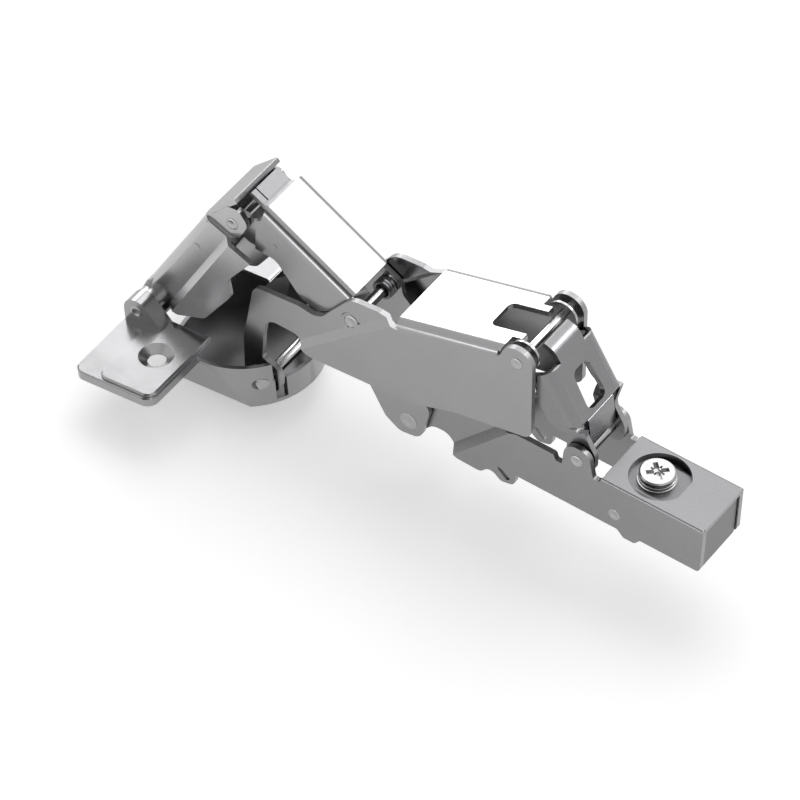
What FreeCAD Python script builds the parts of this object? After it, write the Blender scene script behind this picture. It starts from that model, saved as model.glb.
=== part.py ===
import FreeCAD, Part
import math
import os

os.makedirs("parts", exist_ok=True)
Vector = FreeCAD.Vector

# Concealed cup hinge with seven pivots, door standing 97 degrees open.
# X runs to the rear of the cabinet arm, Y lies along the pivot pins, Z is away from the cabinet side.
# The origin is on the underside of the carrier's top plate, behind the cam screw.

# Clearances between neighbours
side_gap = 0.3
nest_gap = 0.05
running_gap = 0.06

# Cabinet arm
seat_to_rear_pivot = 24.5
arm_half_width = 8.2
arm_wall = 1.4
arm_web_wall = 1.2
arm_corner = 0.6
arm_top_drop = 1.5
arm_height = 13.1
arm_rear_length = 33.2
arm_nose_wall = 1.3
carrier_wall = 1.2
pivot_above_seat = carrier_wall + nest_gap + arm_web_wall + arm_top_drop

# Pivot layout, as runs along X and rises along Z from pin to pin
front_pivot_run = 44.4
front_pivot_drop = 16.0
crank_run = 15.4
crank_rise = 23.7
reach_run = 33.2
reach_rise = 10.4
lever_run = 21.1
lever_drop = 35.6
cup_pin_run = 32.7
cup_pin_drop = 5.7

# Walls of the links, nested from the middle plane outwards with the side gap between neighbours
outer_arm_half_width = 7.6
outer_arm_wall = 1.3
outer_arm_pinch = 0.8
web_bend_radius = 2.1
middle_wall = 1.4
lever_wall = 1.3
rear_lever_half_width = 9.2
rear_lever_wall = 1.4
arm_nose_half_width = outer_arm_half_width - outer_arm_wall - side_gap
middle_nose_half_width = outer_arm_half_width + side_gap + middle_wall
lever_half_width = outer_arm_half_width + side_gap + lever_wall
skirt_half_width = middle_nose_half_width + side_gap + lever_wall
middle_half_width = rear_lever_half_width + side_gap + middle_wall
rear_ear_half_width = arm_half_width - arm_wall - side_gap

# Pins and their riveted ends
pin_radius = 1.6
top_pin_radius = 1.1
cross_pin_radius = 1.3
cup_pin_radius = 1.5
head_radius = 2.2
cross_head_radius = 1.9
small_end_radius = 1.55
head_height = 0.25
low_head_height = 0.12
washer_radius = 3.7
washer_wall = 0.6
slot_half_length = 3.35
slot_half_width = 2.3
slot_back = 1.5
slot_down = 0.6
closed_turn = 89.8
lever_follow = 0.92
barrel_radius = 3.2
lobe_radius = 3.1
lug_radius = 4.15

# Cup and its flange
cup_radius = 17.5
cup_depth = 11.7
cup_wall = 1.0
cup_tilt = 7.0
flange_top = 1.1
flange_drop = 1.2
flange_wall = 1.1
flange_front = 23.4
flange_reach = 35.2
raised_step = 0.7
screw_hole_radius = 2.2
countersink_radius = 4.2
screw_spacing = 45.0
screw_back = 9.0
knuckle_radius = 3.5
strap_width = 4.1
knuckle_inner = skirt_half_width + side_gap + 0.1
knuckle_outer = knuckle_inner + strap_width

# Springs, screw and latch
spring_wire_radius = 0.45
spring_coil_radius = 2.1
spring_washer_radius = 2.5
latch_wire_radius = 0.3
cam_head_radius = 4.15
cam_hole_radius = 7.1

# Pivot centres in the X and Z plane
rear_pin = (-seat_to_rear_pivot, pivot_above_seat)
front_pin = (rear_pin[0] - front_pivot_run, rear_pin[1] - front_pivot_drop)
top_pin = (rear_pin[0] - crank_run, rear_pin[1] + crank_rise)
cross_pin = (front_pin[0] - crank_run, front_pin[1] + crank_rise)
lever_pin = (cross_pin[0] - reach_run, cross_pin[1] + reach_rise)
knuckle_pin = (lever_pin[0] - lever_run, lever_pin[1] - lever_drop)
cup_pin = (knuckle_pin[0] + cup_pin_run, knuckle_pin[1] - cup_pin_drop)


# Shared shapes
def turned(point, centre, degrees):
    angle = math.radians(degrees)
    run = point[0] - centre[0]
    rise = point[1] - centre[1]
    return (centre[0] + run * math.cos(angle) - rise * math.sin(angle),
            centre[1] + run * math.sin(angle) + rise * math.cos(angle))


def near(pin, run, rise, radius=0.0):
    return (pin[0] + run, pin[1] + rise, radius)


def outline(corners):
    """Closed face in the X and Z plane, each corner rounded by its own radius."""
    points = [Vector(c[0], 0, c[1]) for c in corners]
    count = len(points)
    starts = []
    ends = []
    arcs = []
    for i, corner in enumerate(corners):
        here = points[i]
        back = (points[i - 1] - here).normalize()
        ahead = (points[(i + 1) % count] - here).normalize()
        angle = back.getAngle(ahead)
        radius = corner[2]
        if radius <= 0 or angle > math.pi - 0.02:
            starts.append(here)
            ends.append(here)
            arcs.append(None)
            continue
        run = radius / math.tan(angle / 2)
        room = 0.49 * min((points[i - 1] - here).Length, (points[(i + 1) % count] - here).Length)
        run = min(run, room)
        radius = run * math.tan(angle / 2)
        middle = (back + ahead).normalize()
        start = here + back * run
        end = here + ahead * run
        crown = here + middle * (radius / math.sin(angle / 2) - radius)
        starts.append(start)
        ends.append(end)
        arcs.append(Part.Arc(start, crown, end).toShape())
    edges = []
    for i in range(count):
        if arcs[i] is not None:
            edges.append(arcs[i])
        a = ends[i]
        b = starts[(i + 1) % count]
        if (b - a).Length > 1e-5:
            edges.append(Part.makeLine(a, b))
    return Part.Face(Part.Wire(edges))


def slab(face, low, high):
    lower = face.copy()
    lower.translate(Vector(0, low, 0))
    return lower.extrude(Vector(0, high - low, 0))


def rod(centre, radius, low, high):
    return Part.makeCylinder(radius, high - low, Vector(centre[0], low, centre[1]), Vector(0, 1, 0))


def mirrored(shape):
    return shape.mirror(Vector(0, 0, 0), Vector(0, 1, 0))


def both_sides(shape):
    return shape.fuse(mirrored(shape))


def joined(shapes):
    whole = shapes[0].fuse(shapes[1:]) if len(shapes) > 1 else shapes[0]
    return whole.removeSplitter()


def direction(start, end):
    run = Vector(end[0] - start[0], 0, end[1] - start[1])
    length = run.Length
    return run.normalize(), length


def channel(start, end, side, half_width, wall, radius, depth):
    """Folded channel whose web runs from start to end; side is 1 if its outer face looks left of the run."""
    along, length = direction(start, end)
    out = Vector(-along.z * side, 0, along.x * side)
    origin = Vector(start[0], 0, start[1])

    def point(y, height):
        return origin + Vector(0, y, 0) + out * height

    def bend(y_sign, size, offset):
        centre_y = y_sign * (half_width - radius)
        corner = size * math.sqrt(0.5)
        return point(centre_y + y_sign * corner, offset + corner)

    inner = radius - wall
    outer_points = [point(-half_width, -depth), point(-half_width, -radius), point(-half_width + radius, 0),
                    point(half_width - radius, 0), point(half_width, -radius), point(half_width, -depth)]
    inner_points = [point(half_width - wall, -depth), point(half_width - wall, -radius),
                    point(half_width - radius, -wall), point(-half_width + radius, -wall),
                    point(-half_width + wall, -radius), point(-half_width + wall, -depth)]
    edges = [Part.makeLine(outer_points[0], outer_points[1]),
             Part.Arc(outer_points[1], bend(-1, radius, -radius), outer_points[2]).toShape(),
             Part.makeLine(outer_points[2], outer_points[3]),
             Part.Arc(outer_points[3], bend(1, radius, -radius), outer_points[4]).toShape(),
             Part.makeLine(outer_points[4], outer_points[5]),
             Part.makeLine(outer_points[5], inner_points[0]),
             Part.makeLine(inner_points[0], inner_points[1]),
             Part.Arc(inner_points[1], bend(1, inner, -radius), inner_points[2]).toShape(),
             Part.makeLine(inner_points[2], inner_points[3]),
             Part.Arc(inner_points[3], bend(-1, inner, -radius), inner_points[4]).toShape(),
             Part.makeLine(inner_points[4], inner_points[5]),
             Part.makeLine(inner_points[5], outer_points[0])]
    return Part.Face(Part.Wire(edges)).extrude(along * length)


def stepped_sheet(start, end, inner_side, outer_side, ramp, reach):
    """Sheet with a joggle along the line start to end; the second pair of limits holds on its right."""
    along, length = direction(start, end)
    right = Vector(along.z, 0, -along.x)
    origin = Vector(start[0], 0, start[1]) - along * reach

    def point(across, y):
        return origin + right * across + Vector(0, y, 0)

    low_a, high_a = inner_side
    low_b, high_b = outer_side
    half = ramp / 2
    corners = [point(-reach, low_a), point(-half, low_a), point(half, low_b), point(reach, low_b),
               point(reach, high_b), point(half, high_b), point(-half, high_a), point(-reach, high_a)]
    return Part.Face(Part.makePolygon(corners + corners[:1])).extrude(along * (length + 2 * reach))


def box_between(low, high):
    return Part.makeBox(high[0] - low[0], high[1] - low[1], high[2] - low[2], Vector(*low))


def save(name, shape):
    solid = shape.removeSplitter()
    if len(solid.Solids) == 1:
        solid = solid.Solids[0]
    if not solid.isValid():
        solid.fix(0.01, 0.01, 0.01)
    print(name, "solids", len(solid.Solids), "valid", solid.isValid(), "volume", round(solid.Volume, 1))
    solid.exportStep("parts/" + name + ".step")
    return solid


wide = knuckle_outer + 5.0
far = 2.0 * arm_rear_length


def corner_strip(half_width, top, radius, low, high):
    """What a rounded long edge takes off a square one, on both sides."""
    y = half_width
    arc = Part.Arc(Vector(low, y, top - radius), Vector(low, y - radius + radius * math.sqrt(0.5), top - radius + radius * math.sqrt(0.5)),
                   Vector(low, y - radius, top)).toShape()
    edges = [Part.makeLine(Vector(low, y - radius, top), Vector(low, y - radius, top + 0.2)),
             Part.makeLine(Vector(low, y - radius, top + 0.2), Vector(low, y + 0.2, top + 0.2)),
             Part.makeLine(Vector(low, y + 0.2, top + 0.2), Vector(low, y + 0.2, top - radius)),
             Part.makeLine(Vector(low, y + 0.2, top - radius), Vector(low, y, top - radius)), arc]
    return both_sides(Part.Face(Part.Wire(edges)).extrude(Vector(high - low, 0, 0)))


# Base arm, a box-like channel open towards the cabinet side, with a round hole over the cam screw and a pinched nose
def base_arm():
    top = rear_pin[1] - arm_top_drop
    bottom = top - arm_height
    rear = rear_pin[0] + arm_rear_length
    side = [near(front_pin, -3.9, 3.2, 3.6), near(front_pin, 8.0, 10.8, 6.0),
            near(rear_pin, -29.0, -5.0, 8.0), near(rear_pin, -19.5, -3.3, 2.0), near(rear_pin, -16.0, -1.7, 3.0),
            near(rear_pin, -5.9, -1.7, 0.6), near(rear_pin, -5.3, -3.2, 0.5), near(rear_pin, -3.7, -3.2, 0.5),
            near(rear_pin, -3.3, 3.9, 3.4), near(rear_pin, 2.9, 3.9, 3.2), near(rear_pin, 4.5, -2.9, 0.7),
            near(rear_pin, 6.1, -2.9, 0.7), (rear_pin[0] + 6.7, top, 0.4),
            (rear, top, 0.6), (rear, bottom, 1.2),
            (rear_pin[0] + 17.6, bottom, 0.8), (rear_pin[0] + 16.3, bottom - 1.7, 1.0),
            (rear_pin[0] + 13.4, bottom - 1.7, 1.2), (rear_pin[0] + 11.6, bottom, 0.8),
            (rear_pin[0] - 15.2, bottom, 0.3), (rear_pin[0] - 15.4, bottom - 3.4, 1.6),
            (rear_pin[0] - 19.0, bottom - 4.2, 1.6), (rear_pin[0] - 22.0, bottom - 1.8, 2.0),
            (rear_pin[0] - 24.5, bottom - 4.6, 2.0), (rear_pin[0] - 31.5, bottom - 4.4, 3.0),
            (rear_pin[0] - 35.0, bottom - 0.6, 3.0), near(front_pin, 5.5, 0.6, 3.0), near(front_pin, 1.5, -4.0, 3.6),
            near(front_pin, -3.9, -3.0, 3.6)]
    crease_top = near(rear_pin, -17.7, -1.1)
    crease_foot = (rear_pin[0] - 30.5, bottom - 1.0)
    sheet = stepped_sheet(crease_foot, crease_top, (arm_nose_half_width - arm_nose_wall, arm_nose_half_width),
                          (arm_half_width - arm_wall, arm_half_width), 1.8, far)
    wall = slab(outline(side), 0, wide).common(sheet)
    hook_slot = outline([near(rear_pin, -20.6, bottom - rear_pin[1] - 0.1, 0.5),
                         near(rear_pin, -19.0, bottom - rear_pin[1] - 0.3, 0.4),
                         near(rear_pin, -16.4, bottom - rear_pin[1] - 2.2, 0.4),
                         near(rear_pin, -17.5, bottom - rear_pin[1] - 3.0, 0.4)])
    wall = wall.cut(slab(hook_slot, -wide, wide))
    web_low = bottom - 4.5
    bridge = box_between((rear_pin[0] - 30.0, -arm_half_width + 0.6, web_low),
                         (rear_pin[0] - 24.8, arm_half_width - 0.6, web_low + arm_wall))
    web = box_between((arm_web_front, -arm_half_width + arm_wall / 2, top - arm_web_wall),
                      (rear, arm_half_width - arm_wall / 2, top))
    hole = Part.makeCylinder(cam_hole_radius, 6, Vector(cam_axis[0] + 0.8, cam_axis[1], top - 3))
    flat_end = box_between((cam_axis[0] - 20, -wide, top - 4), (cam_axis[0] + cam_hole_radius + 0.2, wide, top + 4))
    body = joined([both_sides(wall), bridge, web])
    body = body.cut(hole.common(flat_end))
    body = body.cut(corner_strip(arm_half_width, top, arm_corner, arm_web_front - 1.0, rear + 1.0))
    body = body.cut(rod(front_pin, pin_radius, -wide, wide))
    body = body.cut(rod(rear_pin, pin_radius, -wide, wide))
    return body.cut(rod(latch_pivot, latch_pin_radius, -wide, wide))


# Carrier, the inner channel under the arm's web, which holds the cam screw and seats on the mounting plate
arm_web_front = rear_pin[0] + 6.7
carrier_front = rear_pin[0] + 6.0
carrier_rear = rear_pin[0] + arm_rear_length - 0.4
carrier_half_width = arm_half_width - arm_wall - 0.25
cam_axis = (rear_pin[0] + 15.9, 0.0)
latch_pivot = (rear_pin[0] + 10.6, rear_pin[1] - 10.6)
latch_pin_radius = 1.5


def carrier():
    top = carrier_wall
    floor = rear_pin[1] - arm_top_drop - arm_height
    body = channel((carrier_front, top), (carrier_rear, top), 1, carrier_half_width, carrier_wall, 1.7, top - floor - 0.6)
    flap = box_between((carrier_rear - carrier_wall, -carrier_half_width + 0.1, floor),
                       (carrier_rear, carrier_half_width - 0.1, top - 0.4))
    body = joined([body, flap])
    nose = box_between((carrier_front - 1, -wide, floor - 1), (carrier_front + 3.4, wide, top - 2.4))
    body = body.cut(nose)
    body = body.cut(Part.makeCylinder(cam_stem_radius + running_gap, 8, Vector(cam_axis[0], cam_axis[1], -4)))
    body = body.cut(Part.makeCylinder(cam_disc_radius + cam_throw + 0.2, 2.0, Vector(cam_axis[0], cam_axis[1], relief_depth - 2.0)))
    return body.cut(rod(latch_pivot, latch_pin_radius, -wide, wide))


# Cam screw, a turned head with grooves over a wider foot, with a star recess; its disc is riveted under the carrier
cam_stem_radius = 2.6
cam_collar_radius = 4.5
cam_disc_radius = 3.9
cam_throw = 0.6
relief_depth = 0.25


def cam_screw():
    foot = carrier_wall + nest_gap
    steps = [(0, 0), (cam_collar_radius, 0), (cam_collar_radius, 0.5), (cam_head_radius - 0.3, 0.65),
             (cam_head_radius - 0.3, 0.8), (cam_head_radius + 0.1, 0.95), (cam_head_radius + 0.1, 1.2),
             (cam_head_radius - 0.4, 1.35), (cam_head_radius - 0.4, 1.5), (cam_head_radius, 1.6),
             (cam_head_radius, 2.3), (cam_head_radius - 0.35, 2.6), (0, 2.6)]
    points = [Vector(cam_axis[0] + r, cam_axis[1], foot + z) for r, z in steps]
    screw = Part.Face(Part.makePolygon(points + points[:1])).revolve(Vector(cam_axis[0], cam_axis[1], 0), Vector(0, 0, 1), 360)
    base = Vector(cam_axis[0], cam_axis[1], foot)
    drive = Part.makeCone(0.5, 1.35, 1.7, base + Vector(0, 0, 1.0))
    for i in range(2):
        bar = Part.makeBox(5.2, 1.15, 2, base + Vector(-2.6, -0.575, 1.5))
        bar.rotate(base, Vector(0, 0, 1), 45 * (2 * i + 1))
        drive = drive.fuse(bar)
        tick = Part.makeBox(3.6, 0.5, 1, base + Vector(-1.8, -0.25, 2.1))
        tick.rotate(base, Vector(0, 0, 1), 90 * i)
        drive = drive.fuse(tick)
    return screw.cut(drive)


def cam_disc():
    base = Vector(cam_axis[0], cam_axis[1], -1.7)
    disc = Part.makeCylinder(cam_disc_radius, 1.4, base)
    disc.translate(Vector(cam_throw, 0, 0))
    stem = Part.makeCylinder(cam_stem_radius, carrier_wall + nest_gap - base.z, base)
    return joined([disc, stem])


# Rear latch that clips the arm on its plate, with its own spring
latch_half_width = carrier_half_width - carrier_wall - 0.95
latch_reach = carrier_rear - carrier_wall - 2.0 - latch_pivot[0]


def clip_latch():
    lobe = near(latch_pivot, 0, 0)
    side = outline([near(lobe, -3.0, 2.6, 2.5), near(lobe, 4.0, 2.2, 1.5), near(lobe, latch_reach - 2.1, 1.6, 0.6),
                    near(lobe, latch_reach, -2.6, 0.6), near(lobe, latch_reach - 1.8, -2.8, 0.6),
                    near(lobe, latch_reach - 3.4, -0.6, 1.0),
                    near(lobe, 4.2, -1.2, 1.0), near(lobe, 3.0, -5.2, 0.8), near(lobe, -0.6, -5.6, 0.8),
                    near(lobe, -3.0, -3.0, 1.5)])
    body = slab(side, -latch_half_width, latch_half_width)
    hollow = outline([near(lobe, -6.0, 4.5, 0), near(lobe, 3.2, 4.5, 0), near(lobe, 3.6, 0.9, 0),
                      near(lobe, latch_reach - 3.2, 0.4, 0), near(lobe, latch_reach - 3.6, -8, 0), near(lobe, -6.0, -8, 0)])
    body = body.cut(slab(hollow, -latch_half_width + 1.2, latch_half_width - 1.2))
    return body.cut(rod(latch_pivot, latch_pin_radius + running_gap, -wide, wide))


def coil(centre, mean_radius, wire, start_y, turns, legs):
    """Torsion spring round a pin: close-wound turns as one ribbed ring, and a wire leg from its first and last turn."""
    pitch = 2 * wire
    thick = wire / math.sin(math.radians(67.5))
    outer = []
    inner = []
    for i in range(turns):
        for heading in (-67.5, -22.5, 22.5, 67.5):
            if i > 0 and heading == -67.5:
                continue
            angle = math.radians(heading)
            across = thick * math.cos(angle)
            height = start_y + pitch * (i + 0.5) + thick * math.sin(angle)
            outer.append(Vector(centre[0] + mean_radius + across, height, centre[1]))
            inner.append(Vector(centre[0] + mean_radius - across, height, centre[1]))
    section = outer + inner[::-1]
    turned_wire = Part.Face(Part.makePolygon(section + section[:1]))
    parts = [turned_wire.revolve(Vector(centre[0], 0, centre[1]), Vector(0, 1, 0), 360)]
    for turn, heading, length in legs:
        angle = math.radians(heading)
        foot = Vector(centre[0] + mean_radius * math.cos(angle + math.pi / 2), start_y + pitch * (turn + 0.5),
                      centre[1] + mean_radius * math.sin(angle + math.pi / 2))
        parts.append(Part.makeCylinder(wire, length, foot, Vector(math.cos(angle), 0, math.sin(angle))))
    return joined(parts)


# Rear lever, a folded channel with a window in its web, a rolled tab over the top pin and a flap between its ears
def rear_lever():
    web_top = near(top_pin, 7.4, -0.6)
    web_foot = near(rear_pin, 0.3, 10.5)
    web = channel(web_foot, web_top, -1, rear_lever_half_width, rear_lever_wall, 2.7, 30.0)
    side = outline([near(top_pin, -4.0, 4.0, 3.9), near(top_pin, 4.0, 4.0, 3.9), near(top_pin, 5.3, -0.6, 1.6),
                    near(top_pin, 8.1, -0.9, 0.5), near(rear_pin, 0.5, 10.3, 2.0), near(rear_pin, -1.4, 7.7, 2.0),
                    near(rear_pin, -6.6, 8.4, 4.0), near(top_pin, 5.0, -10.4, 4.0), near(top_pin, 3.6, -3.6, 3.0),
                    near(top_pin, -4.0, -4.0, 3.9)])
    upper = web.common(slab(side, -wide, wide))
    ear = outline([near(rear_pin, -6.0, 9.6, 2.0), near(rear_pin, 0.2, 10.4, 0.6), near(rear_pin, 0.9, 6.4, 2.0),
                   near(rear_pin, 3.7, 2.0, 3.0), near(rear_pin, 3.9, -3.7, 3.7), near(rear_pin, -3.8, -3.8, 3.7),
                   near(rear_pin, -3.8, 3.2, 3.0)])
    crease = (near(rear_pin, -8.0, 7.2), near(rear_pin, 4.0, 9.6))
    sheet = stepped_sheet(crease[1], crease[0], (rear_ear_half_width - 1.3, rear_ear_half_width),
                          (rear_lever_half_width - rear_lever_wall, rear_lever_half_width), 2.2, far)
    ears = both_sides(slab(ear, 0, wide).common(sheet))
    flap = outline([near(rear_pin, -1.2, 10.3, 0), near(rear_pin, 0.4, 10.35, 0.6), near(rear_pin, 1.0, 6.4, 2.0),
                    near(rear_pin, 1.7, 2.6, 0.4), near(rear_pin, 0.5, 2.4, 0.4), near(rear_pin, -0.3, 6.2, 2.0)])
    flap_half_width = rear_ear_half_width - 1.3 - side_gap
    apron = slab(flap, -flap_half_width, flap_half_width)
    tab = outline([near(top_pin, 8.0, -1.5, 0), near(top_pin, 7.4, -0.6, 0), near(top_pin, 5.7, 1.95, 8.5),
                   near(top_pin, 2.8, 2.85, 0.3), near(top_pin, 2.4, 1.55, 0.3), near(top_pin, 4.81, 0.76, 7.1),
                   near(top_pin, 6.5, -1.8, 0)])
    curl = slab(tab, -4.6, 4.6)
    body = joined([upper, ears, apron, curl])
    along, length = direction(web_foot, web_top)
    normal = Vector(along.z, 0, -along.x)

    def on_web(run, y):
        return Vector(web_foot[0], y, web_foot[1]) + along * run + normal * 3.0

    corners = [on_web(1.3, -3.5), on_web(11.2, -2.9), on_web(11.2, 2.9), on_web(1.3, 3.5)]
    window = Part.Face(Part.makePolygon(corners + corners[:1])).extrude(normal * -7.0)
    upright = [edge for edge in window.Edges if edge.Length > 6.9 and edge.Length < 7.1
               and abs(edge.tangentAt(edge.FirstParameter).dot(normal)) > 0.99]
    window = window.makeFillet(1.7, upright)
    body = body.cut(window)
    body = body.cut(rod(rear_pin, pin_radius + running_gap, -wide, wide))
    return body.cut(rod(top_pin, top_pin_radius + running_gap, -wide, wide))


# Middle arm, wide cheeks under one top plate and a joggled nose whose two legs hook into the cup
slot_centre = (cup_pin[0] - slot_back, cup_pin[1] - slot_down)
middle_top_rise = 0.306


def middle_arm():
    leg_wall = 1.65
    end_x = slot_half_length + leg_wall
    end_z = slot_half_width + leg_wall
    crest = cross_pin
    tail = top_pin
    side = [near(slot_centre, -end_x, -end_z, 3.8), near(slot_centre, end_x, -end_z, 3.8),
            near(slot_centre, end_x, end_z, 3.4), near(slot_centre, -0.4, end_z + 1.4, 1.2),
            near(crest, -23.3, -18.5, 5.0), near(crest, -22.6, -12.7, 4.5), near(crest, -14.6, -12.7, 4.0),
            near(crest, -10.6, -15.9, 4.0), near(front_pin, -8.0, 9.3, 8.0), near(front_pin, 2.4, 10.2, 8.0),
            near(tail, -15.0, -25.1, 20.0), near(tail, 5.0, -20.9, 2.4), near(tail, lug_radius, -0.3, 0),
            near(tail, 0.5, lug_radius - 0.4, 0), near(tail, -3.0, 2.4, 0.8), near(tail, -4.6, -0.4, 1.3),
            near(crest, 12.8, 7.0, 2.0), near(crest, 7.0, 7.7, 4.0), near(crest, -0.4, 7.0, 5.0),
            near(crest, -8.6, -4.2, 4.5), near(crest, -14.0, -3.4, 6.0), near(crest, -26.4, -4.7, 2.6),
            near(crest, -28.7, -22.0, 8.0)]
    joggle = (near(crest, -12.4, -14.0), near(crest, 9.6, 6.6))
    sheet = stepped_sheet(joggle[0], joggle[1], (middle_nose_half_width - middle_wall, middle_nose_half_width),
                          (middle_half_width - middle_wall, middle_half_width), 1.6, far)
    hook_edge = crest[0] - 15.0
    hook = box_between((hook_edge - far, middle_nose_half_width - middle_wall, -far),
                       (hook_edge, middle_nose_half_width, far))
    rest = box_between((hook_edge, 0, -far), (hook_edge + 2 * far, wide, far))
    lug = rod(tail, lug_radius, middle_half_width - middle_wall, middle_half_width)
    cheeks = joined([slab(outline(side), 0, wide).common(sheet).common(rest),
                     slab(outline(side), 0, wide).common(hook), lug])
    dimple = Part.makeCone(cross_head_radius + 0.85, cross_head_radius + 0.5, 0.25,
                           Vector(cross_pin[0], middle_nose_half_width + 0.001, cross_pin[1]), Vector(0, -1, 0))
    cheeks = cheeks.cut(dimple)
    plate_start = near(crest, 12.6, 9.3)
    plate_end = (tail[0] - 1.9, plate_start[1] + (tail[0] - 1.9 - plate_start[0]) * middle_top_rise)
    deep = 5.0
    plate = channel(plate_start, plate_end, 1, middle_half_width, middle_wall, 2.4, deep)
    trim = outline([near(tail, -5.2, -6.0, 0), near(tail, -5.2, 1.2, 0), near(tail, -4.2, 1.8, 0),
                    near(tail, 6.0, 6.0, 0), near(tail, 6.0, -6.0, 0)])
    corner = slab(trim, 6.0, wide)
    plate = plate.cut(corner).cut(mirrored(corner))
    under = slab(trim, -6.5, 6.5).common(slab(outline([near(tail, -5.2, -9.0), near(tail, -5.2, -0.8),
                                                       near(tail, 9.0, 3.2), near(tail, 9.0, -9.0)]), -wide, wide))
    plate = plate.cut(under)
    body = joined([both_sides(cheeks), plate])
    notch_end = plate_end[0] - plate_start[0]
    notch = Part.makeBox(12.0, 8.4, 8.0, Vector(plate_end[0] - 9.6, -4.2, plate_end[1] - 6.0))
    upright = [edge for edge in notch.Edges if edge.BoundBox.ZLength > 7.9]
    notch = notch.makeFillet(1.6, upright)
    body = body.cut(notch)
    slot = outline([near(slot_centre, -slot_half_length, -slot_half_width, slot_half_width - 0.05),
                    near(slot_centre, slot_half_length, -slot_half_width, slot_half_width - 0.05),
                    near(slot_centre, slot_half_length, slot_half_width, slot_half_width - 0.05),
                    near(slot_centre, -slot_half_length, slot_half_width, slot_half_width - 0.05)])
    body = body.cut(slab(slot, -wide, wide))
    body = body.cut(rod(cross_pin, cross_pin_radius, -wide, wide))
    return body.cut(rod(top_pin, top_pin_radius, -wide, wide))


# Outer arm, a tapered channel with a lobe that reaches down to the front pin
def outer_arm():
    web_start = near(lever_pin, 8.0, 8.0)
    web_end = near(cross_pin, -1.2, 5.5)
    along, length = direction(web_start, web_end)
    side = [near(lever_pin, 8.0, 8.0), near(lever_pin, 7.2, 4.4, 0.8), near(lever_pin, 3.6, 2.6, 1.5),
            near(lever_pin, 0, lobe_radius), near(lever_pin, 0, -lobe_radius), near(lever_pin, 3.6, -4.8, 1.5), near(lever_pin, 11.6, -5.4, 3.0), near(cross_pin, -14.6, -2.8, 5.0),
            near(cross_pin, -7.0, -5.0, 6.0), near(front_pin, -11.6, 6.6, 8.0), near(front_pin, -6.2, -2.0, 2.4),
            near(front_pin, -2.2, -4.5, 3.0), near(front_pin, 3.4, -3.6, 3.0), near(front_pin, 5.6, 6.6, 3.0),
            near(cross_pin, 3.2, -2.0, 3.0), near(cross_pin, 3.0, 0.2, 1.0), near(cross_pin, 1.8, 1.4, 1.0),
            near(cross_pin, 1.1, 4.0, 1.5), near(cross_pin, -1.2, 5.5, 0)]
    shell = channel(web_start, web_end, 1, outer_arm_half_width, outer_arm_wall, web_bend_radius, 14.0)
    profile = slab(outline(side), -wide, wide)
    shell = shell.common(profile)
    inner_face = outer_arm_half_width - outer_arm_wall
    pinch = stepped_sheet(near(lever_pin, 7.3, -10.0), near(lever_pin, 7.3, 10.0),
                          (inner_face - outer_arm_pinch, outer_arm_half_width - outer_arm_pinch),
                          (inner_face, outer_arm_half_width), 3.0, far)
    walls = both_sides(joined([slab(outline(side), 0, wide).common(pinch),
                               rod(lever_pin, lobe_radius, inner_face - outer_arm_pinch, outer_arm_half_width - outer_arm_pinch)]))
    below = Vector(-along.z, 0, along.x) * (-web_bend_radius)
    keep = [(web_start[0] - 20 * along.x + below.x, web_start[1] - 20 * along.z + below.z, 0),
            (web_end[0] + 20 * along.x + below.x, web_end[1] + 20 * along.z + below.z, 0),
            near(front_pin, 30, -30), near(lever_pin, -20, -70)]
    walls = walls.common(slab(outline(keep), -wide, wide))
    def on_web(run, rise, radius=0.0):
        return (web_start[0] + run * along.x - rise * along.z, web_start[1] + run * along.z + rise * along.x, radius)

    tongue = slab(outline([on_web(2.4, 0.0), on_web(2.4, -1.3), on_web(1.2, -1.6, 0.8), on_web(-0.6, -3.0, 1.0),
                           on_web(-5.0, -3.1, 0.3), on_web(-5.0, -1.8, 0.3), on_web(-1.0, -1.7, 1.0),
                           on_web(0.2, -0.5, 0.8), on_web(1.0, 0.0, 0.5)]), -5.0, 5.0)
    slit = slab(outline([on_web(-6.0, 0.0), on_web(-1.2, 0.0), on_web(-1.2, -5.0), on_web(-6.0, -5.0)]), -3.5, -3.15)
    mark = rod(near(lever_pin, 11.0, -1.4), 0.75, outer_arm_half_width - 0.4, outer_arm_half_width + 0.1)
    body = joined([shell, walls, tongue.cut(slit), both_sides(mark)])
    beside_pinch = box_between((lever_pin[0] - 12.0, outer_arm_half_width - outer_arm_pinch, lever_pin[1] - 12.0),
                               (lever_pin[0] + 5.9, wide, lever_pin[1] + 12.0))
    body = body.cut(both_sides(beside_pinch))
    barrel_at = turned(knuckle_pin, lever_pin, lever_follow * closed_turn)
    notch_radius = barrel_radius + 0.4
    away = Vector(barrel_at[0] - lever_pin[0], 0, barrel_at[1] - lever_pin[1]).normalize()
    back = Vector(away.z, 0, -away.x) * 12
    band = outline([(barrel_at[0] + away.x * notch_radius, barrel_at[1] + away.z * notch_radius, 0),
                    (barrel_at[0] - away.x * notch_radius, barrel_at[1] - away.z * notch_radius, 0),
                    (barrel_at[0] - away.x * (notch_radius + 1) + back.x, barrel_at[1] - away.z * (notch_radius + 1) + back.z, 0),
                    (barrel_at[0] + away.x * notch_radius + back.x, barrel_at[1] + away.z * notch_radius + back.z, 0)])
    body = body.cut(rod(barrel_at, notch_radius, -wide, wide)).cut(slab(band, -wide, wide))
    body = body.cut(rod(lever_pin, pin_radius + running_gap, -wide, wide))
    body = body.cut(rod(cross_pin, cross_pin_radius + running_gap, -wide, wide))
    return body.cut(rod(front_pin, pin_radius + running_gap, -wide, wide))


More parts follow.
